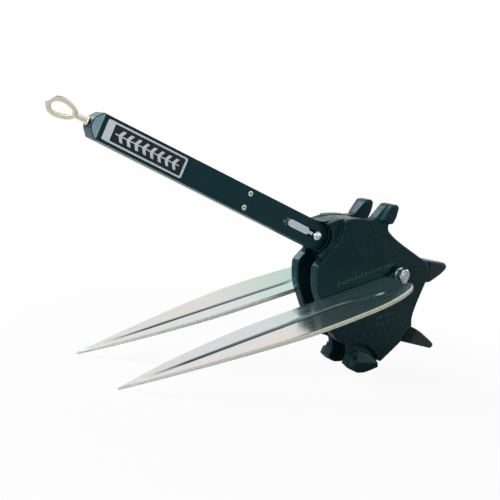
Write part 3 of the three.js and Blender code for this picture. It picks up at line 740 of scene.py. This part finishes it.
# ------------------------------------------------------------------ floor
bm = bmesh.new()
R = 60.0
ring = [bm.verts.new((R * math.cos(2 * math.pi * i / 64), R * math.sin(2 * math.pi * i / 64), -0.0004)) for i in range(64)]
bm.faces.new(ring)
n = Nodes("floor_white")
v = n.coords()
n.link(n.mix(n.map(n.noise(v, 3.0, 2), 0.0, 1.0, 0.3, 0.7), (0.60, 0.60, 0.60), (0.62, 0.62, 0.62)), n.bsdf.inputs["Base Color"])
n.set(Roughness=0.9, Specular_IOR_Level=0.0)
# the studio sweep burns out to white away from the object and keeps a faint shadow under it
glow = n.add("ShaderNodeEmission")
glow.inputs["Color"].default_value = (1, 1, 1, 1)
glow.inputs["Strength"].default_value = 1.0
lit = n.add("ShaderNodeLightPath")
length = n.add("ShaderNodeVectorMath", operation="LENGTH")
n.link(v, length.inputs[0])
far = n.map(length.outputs["Value"], 0.94, 1.0, 0.25, 0.70)
both = n.add("ShaderNodeMath", operation="MULTIPLY")
n.link(far, both.inputs[0])
n.link(lit.outputs["Is Camera Ray"], both.inputs[1])
mixed = n.add("ShaderNodeMixShader")
n.link(both.outputs[0], mixed.inputs["Fac"])
n.link(n.bsdf.outputs[0], mixed.inputs[1])
n.link(glow.outputs[0], mixed.inputs[2])
surface = next(x for x in n.tree.nodes if x.type == "OUTPUT_MATERIAL")
n.link(mixed.outputs[0], surface.inputs["Surface"])
floor = to_object(bm, "floor", [n.mat])


# ------------------------------------------------------------------ light
def area(name, location, target, size, power, colour=(1, 1, 1), glossy=True):
    d = bpy.data.lights.new(name, "AREA")
    d.shape = "RECTANGLE"
    d.size, d.size_y = size
    d.energy = power
    d.color = colour
    o = bpy.data.objects.new(name, d)
    bpy.context.scene.collection.objects.link(o)
    o.location = location
    o.rotation_mode = "QUATERNION"
    o.rotation_quaternion = (Vector(target) - Vector(location)).to_track_quat("-Z", "Y")
    o.visible_glossy = glossy
    return o


area("key", (-0.75, 0.95, 1.15), (0.08, 0.0, 0.13), (1.1, 0.8), 30, (0.93, 0.98, 1.0))
area("left", (-1.7, -0.15, 0.75), (0.05, 0.0, 0.12), (0.8, 0.7), 6, (0.96, 0.99, 1.0))
area("fill", (0.5, -2.3, 1.5), (0.0, 0.0, 0.1), (1.6, 1.0), 2.2, (1.0, 0.99, 0.97), glossy=False)

world = bpy.data.worlds.new("studio")
bpy.context.scene.world = world
world.use_nodes = True
wt = world.node_tree
wt.nodes.clear()
out = wt.nodes.new("ShaderNodeOutputWorld")
white = wt.nodes.new("ShaderNodeBackground")
white.inputs["Color"].default_value = (1, 1, 1, 1)
white.inputs["Strength"].default_value = 1.05
soft = wt.nodes.new("ShaderNodeBackground")
tc = wt.nodes.new("ShaderNodeTexCoord")
sep = wt.nodes.new("ShaderNodeSeparateXYZ")
ramp = wt.nodes.new("ShaderNodeValToRGB")
stops = [(0.0, (0.86, 0.89, 0.91)), (0.30, (0.93, 0.95, 0.96)), (0.56, (0.93, 0.92, 0.91)), (0.74, (0.86, 0.87, 0.87)),
         (0.88, (0.50, 0.54, 0.56)), (1.0, (0.16, 0.20, 0.22))]
while len(ramp.color_ramp.elements) < len(stops):
    ramp.color_ramp.elements.new(0.5)
for e, (pos, col) in zip(ramp.color_ramp.elements, stops):
    e.position = pos
    e.color = (*col, 1)
lp = wt.nodes.new("ShaderNodeLightPath")
mixw = wt.nodes.new("ShaderNodeMixShader")
wt.links.new(tc.outputs["Generated"], sep.inputs[0])
wt.links.new(sep.outputs["Z"], ramp.inputs["Fac"])
wt.links.new(ramp.outputs["Color"], soft.inputs["Color"])
soft.inputs["Strength"].default_value = 1.0
dim = wt.nodes.new("ShaderNodeMapRange")
dim.inputs["To Min"].default_value = 1.0
dim.inputs["To Max"].default_value = 0.32
wt.links.new(lp.outputs["Is Diffuse Ray"], dim.inputs["Value"])
wt.links.new(dim.outputs["Result"], soft.inputs["Strength"])
wt.links.new(lp.outputs["Is Camera Ray"], mixw.inputs["Fac"])
wt.links.new(soft.outputs[0], mixw.inputs[1])
wt.links.new(white.outputs[0], mixw.inputs[2])
wt.links.new(mixw.outputs[0], out.inputs["Surface"])

# ------------------------------------------------------------------ camera
cam = bpy.data.cameras.new("camera")
cam.sensor_width = 36.0
cam.lens = 48.96
cam.clip_start, cam.clip_end = 0.01, 200.0
camera = bpy.data.objects.new("camera", cam)
bpy.context.scene.collection.objects.link(camera)
right = Vector((0.792550, -0.579641, 0.189422))
up = Vector((-0.082116, 0.206352, 0.975026))
back = -Vector((0.604253, 0.788312, -0.115947))
m = Matrix((right, up, back)).transposed().to_4x4()
m.translation = Vector((-0.451795, -0.528970, 0.199795))
camera.matrix_world = m
bpy.context.scene.camera = camera

view = bpy.context.scene.view_settings
view.view_transform = "Standard"
view.look = "None"
view.exposure = 0.0
view.gamma = 1.0
